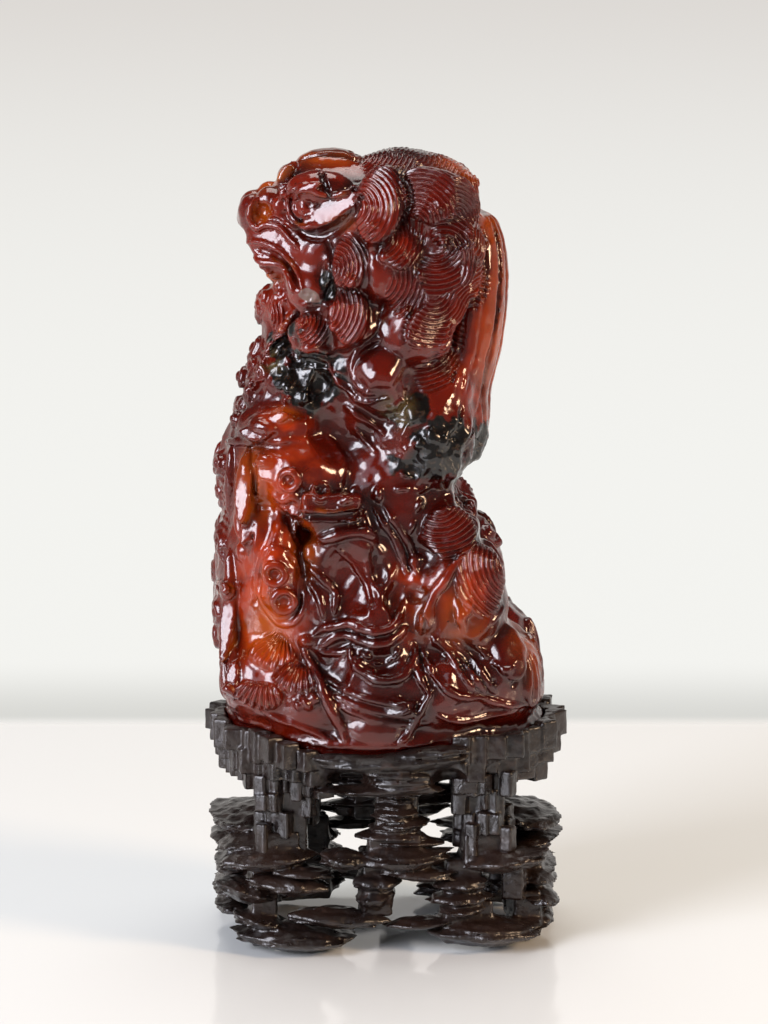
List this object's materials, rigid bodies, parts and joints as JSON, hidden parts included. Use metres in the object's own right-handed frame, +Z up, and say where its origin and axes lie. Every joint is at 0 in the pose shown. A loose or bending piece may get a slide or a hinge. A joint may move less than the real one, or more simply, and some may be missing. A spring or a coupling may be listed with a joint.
{
  "type": "carved amber lion figurine on stand",
  "caption": "Guardian lion carved in red amber, seated in the fitted dish of an openwork hardwood rockwork stand that it lifts out of.",
  "frame": {"origin": "middle of the surface that the stand's feet rest on", "axes": "+Z up; the lion looks along -X; its left side is at -Y"},
  "size_m": [0.0597, 0.0474, 0.1324],
  "materials": {
    "amber": "polished translucent red amber, with orange edges and a dark brown matrix",
    "hardwood": "near-black carved hardwood, waxed, with tool marks"
  },
  "bodies": {
    "stand": {"stand_dish": "hardwood", "stand_front_left_leg": "hardwood", "stand_front_right_leg": "hardwood", "stand_back_left_leg": "hardwood", "stand_back_right_leg": "hardwood", "stand_front_rock": "hardwood", "stand_back_rock": "hardwood", "stand_upper_tier": "hardwood", "stand_middle_tier": "hardwood", "stand_lower_tier": "hardwood"},
    "lion": {"amber_lion": "amber"}
  },
  "joints": [
    {"name": "lion_lift", "type": "slide", "parent": "stand", "child": "lion", "axis": [0, 0, 1], "range_m": [0, 0.03]}
  ]
}
